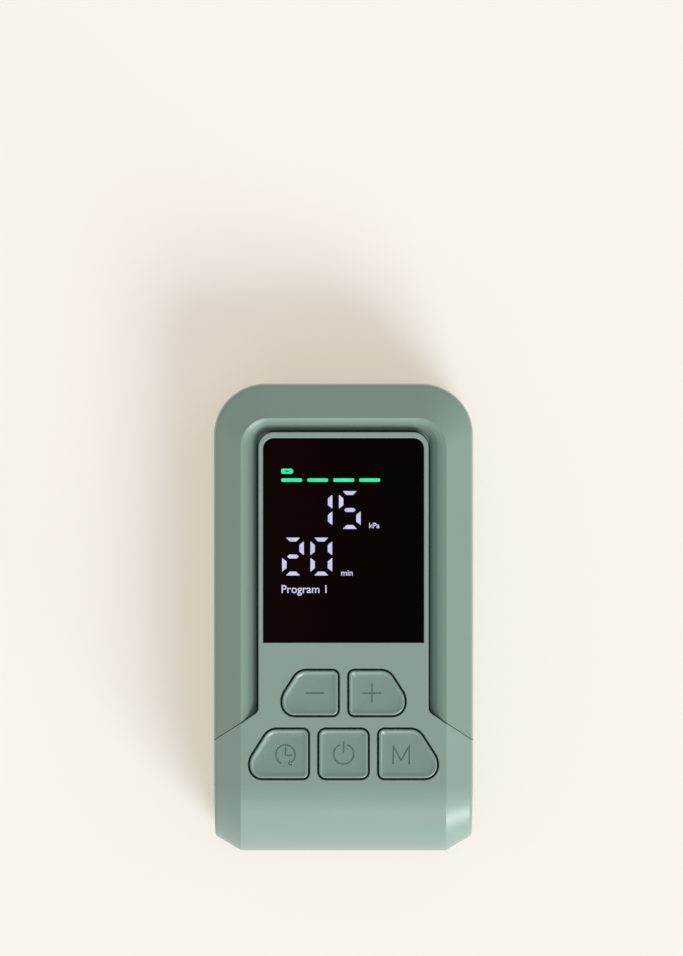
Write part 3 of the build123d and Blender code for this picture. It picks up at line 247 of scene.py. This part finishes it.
def paintedGapShade(tree, shader, reach, power, specular):  # painted shade: where ambient occlusion finds narrow gaps, seams and creases, the base colour darkens and the specular drops
    near = tree.nodes.new("ShaderNodeAmbientOcclusion")
    near.samples = seams["gapShadeSamples"]
    near.inputs["Distance"].default_value = reach * mm
    light = mathNode(tree, "POWER", near.outputs["AO"], power)
    blendBase(tree, shader, light, "A", seams["gapShadeColour"])
    tree.links.new(mathNode(tree, "MULTIPLY", light, specular), shader.inputs["Specular IOR Level"])


def moulded(name, look):  # satin moulded plastic
    mat, tree, shader = newMaterial(name)
    shader.inputs["Specular IOR Level"].default_value = look["specular"]
    mottled(tree, shader, look["colour"], look["patch"], look["change"])
    if "splitShadeLine" in look:
        splitShadeLine(tree, shader)
    if "rimHighlightGain" in look:
        paintedRimHighlight(tree, shader, look["rimHighlightGain"])
    if "gapShadeReach" in look:
        paintedGapShade(tree, shader, look["gapShadeReach"], look["gapShadePower"], look["specular"])
    unevenGloss(tree, shader, look["patch"] * surface["roughTimes"], look["rough"], surface["roughSpread"])
    grain(tree, shader, look["grain"], look["grainStrength"], look.get("edge"))
    return mat


def metal(name, look):
    mat, tree, shader = newMaterial(name)
    shader.inputs["Metallic"].default_value = 1.0
    mottled(tree, shader, look["colour"], surface["metalPatch"], surface["metalChange"])
    unevenGloss(tree, shader, surface["metalRoughPatch"], look["rough"], surface["metalRoughSpread"],
                surface["toneDetail"])
    return mat


# patch and grain are noise scales; edge and the reach of the painted gap shade are in mm
plastics = {
    "caseGreen": {"colour": linearColour(132, 155, 145), "specular": 0.6, "rough": 0.35, "patch": 14.0,
                  "change": 0.015, "grain": 2600.0, "grainStrength": 0.10, "edge": 0.22,
                  "splitShadeLine": True, "gapShadeReach": 1.0, "gapShadePower": 3.0},
    # a darker copy of the case's green: painted shade on the frame's facets
    "frameGreenShaded": {"colour": linearColour(125, 149, 136), "specular": 0.6, "rough": 0.35, "patch": 14.0,
                   "change": 0.015, "grain": 2600.0, "grainStrength": 0.10, "edge": 0.22,
                   "splitShadeLine": True, "gapShadeReach": 0.8, "gapShadePower": 1.3},
    "keyGreen": {"colour": linearColour(115, 141, 131), "specular": 0.7, "rough": 0.27, "patch": 20.0,
                 "change": 0.015, "grain": 2600.0, "grainStrength": 0.08, "edge": 0.12,
                 "gapShadeReach": 0.7, "gapShadePower": 3.0, "rimHighlightGain": 1.5},
    "darkPlastic": {"colour": linearColour(58, 62, 62), "specular": 0.5, "rough": 0.5, "patch": 60.0,
                    "change": 0.05, "grain": 2200.0, "grainStrength": 0.2},
    # the grooves' colour is darker than the key's: painted shade in the engraved strokes
    "engraving": {"colour": linearColour(104, 126, 117), "specular": 0.3, "rough": 0.5, "patch": 60.0,
                  "change": 0.03, "grain": 2600.0, "grainStrength": 0.05},
    "chipBlack": {"colour": linearColour(38, 38, 40), "specular": 0.4, "rough": 0.55, "patch": 200.0,
                  "change": 0.08, "grain": 3000.0, "grainStrength": 0.2},
    "pumpWhite": {"colour": linearColour(225, 223, 215), "specular": 0.5, "rough": 0.45, "patch": 50.0,
                  "change": 0.02, "grain": 2200.0, "grainStrength": 0.15},
    "whiteBox": {"colour": linearColour(232, 232, 228), "specular": 0.5, "rough": 0.5, "patch": 50.0,
                 "change": 0.02, "grain": 2200.0, "grainStrength": 0.1},
    "filmWhite": {"colour": linearColour(240, 240, 240), "specular": 0.3, "rough": 0.6, "patch": 40.0,
                  "change": 0.02, "grain": 3000.0, "grainStrength": 0.05},
    "boardGreen": {"colour": linearColour(38, 110, 66), "specular": 0.6, "rough": 0.3, "patch": 320.0,
                   "change": 0.25, "grain": 1500.0, "grainStrength": 0.3},
    "cellBlue": {"colour": linearColour(52, 100, 160), "specular": 0.5, "rough": 0.35, "patch": 40.0,
                 "change": 0.04, "grain": 600.0, "grainStrength": 0.1},
    "rubberDark": {"colour": linearColour(48, 49, 49), "specular": 0.3, "rough": 0.75, "patch": 90.0,
                   "change": 0.08, "grain": 1800.0, "grainStrength": 0.4},
    "silicone": {"colour": linearColour(214, 217, 218), "specular": 0.5, "rough": 0.4, "patch": 70.0,
                 "change": 0.03, "grain": 900.0, "grainStrength": 0.1},
}
metals = {
    "steel": {"colour": linearColour(176, 176, 178), "rough": 0.34},
    "winding": {"colour": linearColour(196, 128, 88), "rough": 0.4},
}
window = {
    # colours of the painted reflection at either side of the window
    "warm": linearColour(13, 1, 0),
    "cold": linearColour(3, 0, 0),
    "reach": 30.0 * mm,  # from the middle to where the painted reflection ends on each side
    "specular": 0.02,
    "rough": 0.10,
    "roughPatch": 40.0,
    "roughSpread": 0.02,
}
glow = {
    "unlit": (0.01, 0.01, 0.01, 1),
    "rough": 0.6,
    "specular": 0.1,
    "patch": 300.0,
    "detail": 1.0,
    "noiseLow": 0.35,
    "noiseHigh": 0.65,
    "strength": 0.95,
}
signColours = {
    "signGreen": (linearColour(36, 236, 160), linearColour(60, 246, 176)),
    "signPale": (linearColour(198, 198, 244), linearColour(217, 214, 250)),
}


def windowWithPaintedReflection(name, look):  # dark glass with a painted reflection: the colour runs from faintly warm at the left to nearly black at the right
    mat, tree, shader = newMaterial(name)
    shader.inputs["Specular IOR Level"].default_value = look["specular"]
    across = mapRange(tree, placeAlong(tree, "X"), -look["reach"], look["reach"])
    tree.links.new(colourRamp(tree, across, look["warm"], look["cold"]), shader.inputs["Base Color"])
    unevenGloss(tree, shader, look["roughPatch"], look["rough"], look["roughSpread"])
    return mat


def glowing(name, colours, look):  # a sign lit from behind the window
    mat, tree, shader = newMaterial(name)
    shader.inputs["Base Color"].default_value = look["unlit"]
    shader.inputs["Roughness"].default_value = look["rough"]
    shader.inputs["Specular IOR Level"].default_value = look["specular"]
    source = noise(tree, look["patch"], look["detail"])
    tone = colourRamp(tree, source, *colours, look["noiseLow"], look["noiseHigh"])
    tree.links.new(tone, shader.inputs["Emission Color"])
    shader.inputs["Emission Strength"].default_value = look["strength"]
    return mat


materials = {name: moulded(name, look) for name, look in plastics.items()}
materials.update({name: metal(name, look) for name, look in metals.items()})
materials["windowBlack"] = windowWithPaintedReflection("windowBlack", window)
materials.update({name: glowing(name, colours, glow) for name, colours in signColours.items()})

wearers = {
    "caseGreen": ["front_panel", "rear_shell"],
    "frameGreenShaded": ["front_frame"],
    "windowBlack": ["display_lens"],
    "whiteBox": ["display_module"],
    "filmWhite": ["diffuser_film"],
    "boardGreen": ["main_board", "charge_board"],
    "chipBlack": ["key_switches", "board_parts", "buzzer", "pressure_sensor"],
    "steel": ["board_screws", "pump_screws", "case_screws", "battery_tabs", "motor_can", "motor_rotor",
              "valve_frames", "usb_port", "valve_plunger_1", "valve_plunger_2", "valve_plunger_3",
              "valve_plunger_4"],
    "winding": ["valve_coils"],
    "cellBlue": ["battery_cells"],
    "darkPlastic": ["battery_tray", "motor_magnets", "left_socket", "right_socket"],
    "pumpWhite": ["pump_housing", "wobble_plate", "pump_cover", "manifold"],
    "rubberDark": ["pump_diaphragm", "pump_mounts", "feet"],
    "silicone": ["air_tubes", "pump_tube"],
    "keyGreen": ["minus_button", "plus_button", "timer_button", "power_button", "mode_button"],
}


def dress(node, material):
    if not nodes[node].material_slots:
        nodes[node].data.materials.append(material)
    for slot in nodes[node].material_slots:
        slot.material = material


for finish, names in wearers.items():
    for name in names:
        dress(name, materials[finish])
dressed = {name for names in wearers.values() for name in names}
print("materials on", len(dressed), "nodes, left:", sorted(set(nodes) - dressed))


# signs behind the window: flat plates a hair above the glass, in mm from here on
display = {
    "lift": 0.04,
    "thickness": 0.03,
    "left": -23.8,
}
digits = {
    "width": 8.33,
    "height": 14.5,
    "pitch": 10.85,
    "uprightWidth": 1.7,
    "crossbarHeight": 1.5,
    "cornerGap": 1.45,
    "middleGap": 0.5,
    "slant": 0.8,  # how far an upright's inner edge is cut back, as a share of its width
    "rounding": 0.25,
    "numbers": {  # x is the left edge of the last digit, y its foot
        "pressure_digits": {"text": "15", "x": -1.73, "y": 34.1},
        "minutes_digits": {"text": "20", "x": -12.65, "y": 16.28},
    },
}
# a is the top stroke, b to f follow clockwise and g is the middle one
strokesLit = {"0": "abcdef", "1": "bc", "2": "abdeg", "5": "acdfg"}
levelBars = {"count": 4, "pitch": 9.95, "length": 8.0, "height": 1.38, "middleY": 52.8}
battery = {
    "y": 55.2,
    "width": 4.3,
    "height": 2.0,
    "rounding": 0.5,
    "nubWidth": 0.3,
    "nubOverlap": 0.05,
    "nubRounding": 0.2,
    "boltTip": (1.1, 0.1),  # points of half the bolt, from the sign's middle
    "boltWaist": (0.05, 0.12),
    "boltShoulder": (0.15, 0.45),
}
lettering = {
    "bold": 0.04,
    "words": {
        "pressure_unit": {"text": "kPa", "x": 9.7, "y": 34.45, "size": 2.9},
        "minutes_unit": {"text": "min", "x": -1.0, "y": 16.25, "size": 3.15},
        "mode_word": {"text": "Program 1", "x": -23.95, "y": 9.6, "size": 4.3},
    },
}
signZ = lensTopZ + display["lift"] * mm
signDepth = display["thickness"] * mm


def linkPiece(piece, body, material):
    bpy.context.collection.objects.link(piece)
    piece.data.materials.append(material)
    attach(piece, body)


def evaluatedMesh(thing):  # what a curve or an object with modifiers comes out as
    graph = bpy.context.evaluated_depsgraph_get()
    return bpy.data.meshes.new_from_object(thing.evaluated_get(graph))


def plate(name, outlines, lowZ, thickness):  # several flat outlines, in mm, as one thin piece
    mesh = bpy.data.meshes.new(name)
    bm = bmesh.new()
    for outline in outlines:
        verts = [bm.verts.new((x * mm, y * mm, lowZ)) for x, y in outline]
        made = bmesh.ops.extrude_face_region(bm, geom=[bm.faces.new(verts)])
        for vert in [item for item in made["geom"] if isinstance(item, bmesh.types.BMVert)]:
            vert.co.z += thickness
    bmesh.ops.recalc_face_normals(bm, faces=bm.faces[:])
    bm.to_mesh(mesh)
    bm.free()
    return bpy.data.objects.new(name, mesh)


def softened(points, radius, steps=3):  # rounds each corner of an outline a little
    mostOfSide = 0.45  # as a share, so that some of each side stays straight
    result = []
    for i, point in enumerate(points):
        here = Vector(point)
        before = Vector(points[i - 1]) - here
        after = Vector(points[(i + 1) % len(points)]) - here
        cut = min(radius, before.length * mostOfSide, after.length * mostOfSide)
        start = here + before.normalized() * cut
        end = here + after.normalized() * cut
        for k in range(steps + 1):
            t = k / steps
            spot = start * (1 - t) ** 2 + here * 2 * t * (1 - t) + end * t ** 2
            result.append((spot.x, spot.y))
    return result


def rounded(x, y, width, height, radius):  # a rectangle with round corners
    corners = [(x, y), (x + width, y), (x + width, y + height), (x, y + height)]
    return softened(corners, radius, steps=5)


def digitStrokes(d):  # outlines of the seven strokes, from the digit's lower left corner
    width, height, half = d["width"], d["height"], d["height"] / 2
    upright, bar, gap = d["uprightWidth"], d["crossbarHeight"], d["cornerGap"]
    slant = upright * d["slant"]
    inset = gap + d["middleGap"]
    top = [(gap, height), (width - gap, height), (width - gap - bar, height - bar),
           (gap + bar, height - bar)]
    upperLeft = [(0, height - gap), (upright, height - gap - slant),
                 (upright, half + d["middleGap"] + slant), (0, half + d["middleGap"])]
    middle = [(inset, half), (inset + bar / 2, half + bar / 2),
              (width - inset - bar / 2, half + bar / 2), (width - inset, half),
              (width - inset - bar / 2, half - bar / 2), (inset + bar / 2, half - bar / 2)]

    def across(shape):
        return [(width - x, y) for x, y in shape]

    def down(shape):
        return [(x, height - y) for x, y in shape]

    return {"a": top, "b": across(upperLeft), "c": across(down(upperLeft)), "d": down(top),
            "e": down(upperLeft), "f": upperLeft, "g": middle}


def numberPlate(name, d):
    number = d["numbers"][name]
    shapes = digitStrokes(d)
    outlines = []
    for i, digit in enumerate(reversed(number["text"])):
        left = number["x"] - i * d["pitch"]
        for letter in strokesLit[digit]:
            corners = softened(shapes[letter], d["rounding"])
            outlines.append([(x + left, y + number["y"]) for x, y in corners])
    return plate(name, outlines, signZ, signDepth)


def levelBarsPlate(b):
    foot = b["middleY"] - b["height"] / 2
    outlines = [rounded(display["left"] + i * b["pitch"], foot, b["length"], b["height"], b["height"] / 2)
                for i in range(b["count"])]
    return plate("level_bars", outlines, signZ, signDepth)


def batteryPlate(b):
    body = rounded(display["left"], b["y"], b["width"], b["height"], b["rounding"])
    nubX = display["left"] + b["width"] - b["nubOverlap"]
    nubY = b["y"] + b["height"] / 4  # the nub is half as tall as the sign
    nub = rounded(nubX, nubY, b["nubWidth"], b["height"] / 2, b["nubRounding"])
    return plate("battery_sign", [body, nub], signZ, signDepth)


def boltPlate(b):  # the dark bolt on the battery sign, the same upside down
    middleX = display["left"] + b["width"] / 2
    middleY = b["y"] + b["height"] / 2
    (tipX, tipY), (waistX, waistY), (shoulderX, shoulderY) = b["boltTip"], b["boltWaist"], b["boltShoulder"]
    half = [(-tipX, -tipY), (shoulderX, shoulderY), (waistX, waistY)]
    outline = [(middleX + x, middleY + y) for x, y in half]
    outline += [(middleX - x, middleY - y) for x, y in half]
    return plate("battery_mark", [outline], signZ + signDepth, signDepth / 2)


def wordPlate(name, look):
    word = look["words"][name]
    curve = bpy.data.curves.new(name, "FONT")
    curve.body = word["text"]
    curve.size = word["size"] * mm
    curve.offset = look["bold"] * mm
    curve.extrude = signDepth / 2
    source = bpy.data.objects.new(name + "Source", curve)
    bpy.context.collection.objects.link(source)
    mesh = evaluatedMesh(source)
    bpy.data.objects.remove(source)
    mesh.transform(Matrix.Translation((word["x"] * mm, word["y"] * mm, signZ)))
    mesh.materials.clear()
    return bpy.data.objects.new(name, mesh)


for name in digits["numbers"]:
    linkPiece(numberPlate(name, digits), "housing", materials["signPale"])
linkPiece(levelBarsPlate(levelBars), "housing", materials["signGreen"])
linkPiece(batteryPlate(battery), "housing", materials["signGreen"])
linkPiece(boltPlate(battery), "housing", materials["windowBlack"])
for name in lettering["words"]:
    linkPiece(wordPlate(name, lettering), "housing", materials["signPale"])
print("display signs made")


# keys: the node's own shape with its sign engraved in the dish, in mm and degrees
engraving = {
    "strokeRadius": 0.33,
    "strokeRings": 2,
    "depth": 0.5,  # the strokes' middles lie this far below the case's face
    "arcSteps": 28,
    "smoothAngle": 28,
    "keyWeld": 0.0002,  # corners closer than this are joined before the cut
    "toolWeld": 0.0001,
}
minusSign = {"left": -14.3, "right": -7.4, "y": -28.65}
plusSign = {"left": 7.3, "right": 14.4, "y": -28.65, "x": 10.85, "top": -25.1, "foot": -32.2}
timerSign = {
    "x": -22.3,
    "y": -52.2,
    "radius": 3.7,
    "start": -58,
    "end": 246,
    "handTop": 2.6,  # the clock's hands, from its middle
    "handFoot": 0.25,
    "handReach": 2.45,
    "tip": (1.2, -3.65),  # the arrow's point from the middle, and its two barbs from the point
    "upperBarb": (0.4, 1.4),
    "lowerBarb": (1.3, -0.35),
}
powerSign = {"x": 0.0, "y": -52.0, "radius": 3.85, "start": 112, "end": 428,
             "barTop": -47.2, "barFoot": -51.5}
modeSign = {"left": 18.95, "middle": 22.03, "right": 25.1, "top": -48.9, "valley": -54.45, "foot": -55.9}


def arcLine(sign):
    count = engraving["arcSteps"]
    span = sign["end"] - sign["start"]
    angles = [math.radians(sign["start"] + span * i / count) for i in range(count + 1)]
    x, y, radius = sign["x"], sign["y"], sign["radius"]
    return [(x + radius * math.cos(a), y + radius * math.sin(a)) for a in angles]


def bars(*points):  # each straight stroke by itself, so that all have the same width
    return [list(pair) for pair in zip(points, points[1:])]


def minusStrokes(s):
    return bars((s["left"], s["y"]), (s["right"], s["y"]))


def plusStrokes(s):
    return minusStrokes(s) + bars((s["x"], s["top"]), (s["x"], s["foot"]))


def timerStrokes(s):
    x, y = s["x"], s["y"]
    hands = bars((x, y + s["handTop"]), (x, y - s["handFoot"]), (x + s["handReach"], y - s["handFoot"]))
    tip = (x + s["tip"][0], y + s["tip"][1])
    upper = (tip[0] + s["upperBarb"][0], tip[1] + s["upperBarb"][1])
    lower = (tip[0] + s["lowerBarb"][0], tip[1] + s["lowerBarb"][1])
    return [arcLine(s), *hands, *bars(upper, tip, lower)]


def powerStrokes(s):
    return [arcLine(s), *bars((s["x"], s["barTop"]), (s["x"], s["barFoot"]))]


def modeStrokes(s):
    return bars((s["left"], s["foot"]), (s["left"], s["top"]), (s["middle"], s["valley"]),
                (s["right"], s["top"]), (s["right"], s["foot"]))


strokes = {
    "minus_button": minusStrokes(minusSign),
    "plus_button": plusStrokes(plusSign),
    "timer_button": timerStrokes(timerSign),
    "power_button": powerStrokes(powerSign),
    "mode_button": modeStrokes(modeSign),
}


def weld(bm, distance):
    bmesh.ops.remove_doubles(bm, verts=bm.verts[:], dist=distance * mm)


def strokeTool(points, z):  # a round bar along a stroke, which cuts the engraving
    curve = bpy.data.curves.new("tool", "CURVE")
    curve.dimensions = "3D"
    curve.bevel_depth = engraving["strokeRadius"] * mm
    curve.bevel_resolution = engraving["strokeRings"]
    curve.use_fill_caps = True
    spline = curve.splines.new("POLY")
    spline.points.add(len(points) - 1)
    for knot, (x, y) in zip(spline.points, points):
        knot.co = (x * mm, y * mm, z, 1)
    tube = bpy.data.objects.new("tool", curve)
    bpy.context.collection.objects.link(tube)
    mesh = evaluatedMesh(tube)
    bpy.data.objects.remove(tube)
    bm = bmesh.new()
    bm.from_mesh(mesh)
    weld(bm, engraving["toolWeld"])
    bmesh.ops.recalc_face_normals(bm, faces=bm.faces[:])
    bm.to_mesh(mesh)
    bm.free()
    mesh.materials.clear()
    mesh.materials.append(materials["engraving"])
    tool = bpy.data.objects.new("tool", mesh)
    bpy.context.collection.objects.link(tool)
    return tool


def smoothByAngle(mesh, degrees):
    bm = bmesh.new()
    bm.from_mesh(mesh)
    limit = math.radians(degrees)
    for face in bm.faces:
        face.smooth = True
    for edge in bm.edges:
        edge.smooth = len(edge.link_faces) == 2 and edge.calc_face_angle(0.0) < limit
    bm.to_mesh(mesh)
    bm.free()


def engravedKey(node):
    mesh = nodes[node].data.copy()
    bm = bmesh.new()
    bm.from_mesh(mesh)
    weld(bm, engraving["keyWeld"])
    bm.to_mesh(mesh)
    bm.free()
    mesh.materials.clear()
    mesh.materials.append(materials["keyGreen"])
    key = bpy.data.objects.new(node.replace("_button", "_key"), mesh)
    bpy.context.collection.objects.link(key)
    tools = [strokeTool(line, faceZ - engraving["depth"] * mm) for line in strokes[node]]
    for tool in tools:
        cut = key.modifiers.new("engraving", "BOOLEAN")
        cut.operation = "DIFFERENCE"
        cut.solver = "EXACT"
        cut.material_mode = "TRANSFER"
        cut.object = tool
    carved = evaluatedMesh(key)
    key.modifiers.clear()
    key.data = carved
    for tool in tools:
        bpy.data.objects.remove(tool)
    smoothByAngle(carved, engraving["smoothAngle"])
    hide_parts(node)
    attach(key, node)
    print(node, "engraved,", len(carved.polygons), "faces")


for node in strokes:
    engravedKey(node)
print("keys engraved")


# floor, lamps and background
studio = {
    "floorHalf": 3.0,  # metres
    "floorDrop": 0.05 * mm,  # a hair below the feet
    "floorColour": linearColour(254, 249, 244),
    "floorRough": 0.9,
    "floorSpecular": 0.1,
    "shadowShare": (0.55, 0.59, 0.70),  # how much of the real shadow the floor shows: warm, not grey
    "keyDirection": (0.41, -0.68, 0.60),
    "keyStrength": 1.88,
    "keyAngle": 30.0,
    "lowDirection": (0.69, -0.72, 0.05),  # a low lamp for the glints along the near edges
    "lowStrength": 1.6,
    "lowAngle": 19.0,
    "skyColour": (1.0, 0.99, 0.98, 1),
    "skyStrength": 0.55,
    "backdropColour": linearColour(250, 245, 239),
}


def seenDirectly(tree):  # 1 for what the camera sees, also in a mirror or through glass
    path = tree.nodes.new("ShaderNodeLightPath")
    first = mathNode(tree, "MAXIMUM", path.outputs["Is Camera Ray"], path.outputs["Is Glossy Ray"])
    return mathNode(tree, "MAXIMUM", first, path.outputs["Is Transmission Ray"])


def mixShaders(tree, first, second, output):  # first for the lighting, second for what is seen
    mix = tree.nodes.new("ShaderNodeMixShader")
    tree.links.new(seenDirectly(tree), mix.inputs[0])
    tree.links.new(first.outputs[0], mix.inputs[1])
    tree.links.new(second.outputs[0], mix.inputs[2])
    tree.links.new(mix.outputs[0], tree.nodes[output].inputs["Surface"])


def floorMaterial(s):
    mat, tree, plain = newMaterial("floorPale")
    plain.inputs["Base Color"].default_value = s["floorColour"]
    plain.inputs["Roughness"].default_value = s["floorRough"]
    plain.inputs["Specular IOR Level"].default_value = s["floorSpecular"]
    # what is seen is part lit, part glowing, so the shadow stays pale
    tones = list(zip(s["floorColour"], s["shadowShare"]))
    lit = tree.nodes.new("ShaderNodeBsdfDiffuse")
    lit.inputs["Color"].default_value = [tone * share for tone, share in tones] + [1]
    pale = tree.nodes.new("ShaderNodeEmission")
    pale.inputs["Color"].default_value = [tone * (1 - share) for tone, share in tones] + [1]
    both = tree.nodes.new("ShaderNodeAddShader")
    tree.links.new(lit.outputs[0], both.inputs[0])
    tree.links.new(pale.outputs[0], both.inputs[1])
    mixShaders(tree, plain, both, "Material Output")
    return mat


def makeFloor(s):
    mesh = bpy.data.meshes.new("studioFloor")
    half = s["floorHalf"]
    corners = [(-half, -half, 0), (half, -half, 0), (half, half, 0), (-half, half, 0)]
    mesh.from_pydata(corners, [], [(0, 1, 2, 3)])
    mesh.materials.append(floorMaterial(s))
    floor = bpy.data.objects.new("studioFloor", mesh)
    floor.location.z = floorZ - s["floorDrop"]
    bpy.context.collection.objects.link(floor)


def makeSun(name, direction, strength, angle):
    sun = bpy.data.lights.new(name, "SUN")
    sun.energy = strength
    sun.angle = math.radians(angle)
    lamp = bpy.data.objects.new(name, sun)
    lamp.rotation_mode = "QUATERNION"
    lamp.rotation_quaternion = Vector(direction).to_track_quat("Z", "Y")
    bpy.context.collection.objects.link(lamp)


def makeSky(s):
    world = bpy.data.worlds.new("studioSky")
    world.use_nodes = True
    bpy.context.scene.world = world
    tree = world.node_tree
    sky = tree.nodes["Background"]
    sky.inputs["Color"].default_value = s["skyColour"]
    sky.inputs["Strength"].default_value = s["skyStrength"]
    backdrop = tree.nodes.new("ShaderNodeBackground")
    backdrop.inputs["Color"].default_value = s["backdropColour"]
    mixShaders(tree, sky, backdrop, "World Output")


makeFloor(studio)
makeSun("keyLight", studio["keyDirection"], studio["keyStrength"], studio["keyAngle"])
makeSun("lowLight", studio["lowDirection"], studio["lowStrength"], studio["lowAngle"])
makeSky(studio)
bpy.context.scene.view_settings.view_transform = "Standard"
print("floor and light set")
